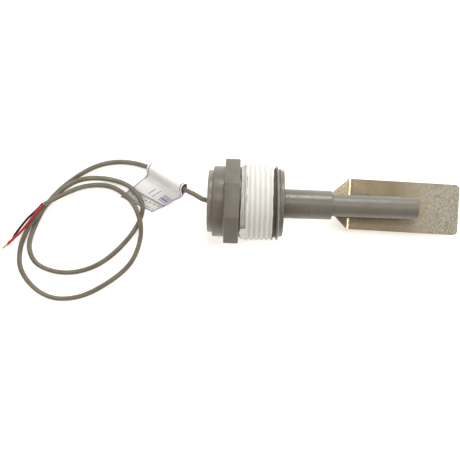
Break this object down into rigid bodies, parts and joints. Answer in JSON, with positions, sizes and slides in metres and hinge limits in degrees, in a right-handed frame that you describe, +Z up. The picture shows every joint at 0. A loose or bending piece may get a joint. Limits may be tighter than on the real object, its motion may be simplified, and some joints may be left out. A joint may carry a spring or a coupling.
{
  "type": "paddle flow switch",
  "caption": "Plastic flow switch: octagonal head and tapered pipe thread, slim stem with a leaf-spring steel paddle beside it, and a loose cable with bare wire ends.",
  "frame": {"origin": "under the middle of the switch without its cord, on the surface that the head's flat rests on", "axes": "+X along the plug's axis from the rear cap to the paddle's tip, +Z up, the paddle under the stem"},
  "size_m": [0.2083, 0.0664, 0.0365],
  "materials": {
    "plug_plastic": "satin",
    "cap_plastic": "satin",
    "tube_plastic": "satin",
    "epoxy": "gloss",
    "reed_glass": "polished",
    "bright_metal": "satin",
    "sleeve_plastic": "matte",
    "red_insulation": "satin",
    "black_insulation": "satin",
    "thread_tape": "matte",
    "spring_steel": "satin",
    "magnet": "satin",
    "cable_jacket": "satin",
    "label_film": "satin",
    "copper": "satin"
  },
  "bodies": {
    "switch_body": {"plug_body": "plug_plastic", "rear_cap": "cap_plastic", "potting_fill": "epoxy", "stem_sleeve": "plug_plastic", "reed_tube": "tube_plastic", "reed_glass": "reed_glass", "reed_blade_rear": "bright_metal", "reed_blade_front": "bright_metal", "solder_sleeve_rear": "sleeve_plastic", "solder_sleeve_front": "sleeve_plastic", "inner_lead_red": "red_insulation", "inner_lead_black": "black_insulation", "thread_tape": "thread_tape", "tape_tail": "thread_tape", "leaf_tongue": "spring_steel", "cable_jacket": "cable_jacket", "cable_label": "label_film", "red_wire": "red_insulation", "black_wire": "black_insulation", "red_wire_strands": "copper", "black_wire_strands": "copper"},
    "paddle": {"paddle_leaf": "spring_steel", "magnet_capsule": "tube_plastic", "paddle_magnet": "magnet", "magnet_rivet": "bright_metal"}
  },
  "joints": [
    {"name": "paddle_flex", "type": "hinge", "parent": "switch_body", "child": "paddle", "pos_m": [-0.00175, 0.00145, 0.01287], "axis": [-0.0213, -0.9998, 0], "range_deg": [-8, 5], "stiffness_Nm_per_rad": 0.06}
  ]
}
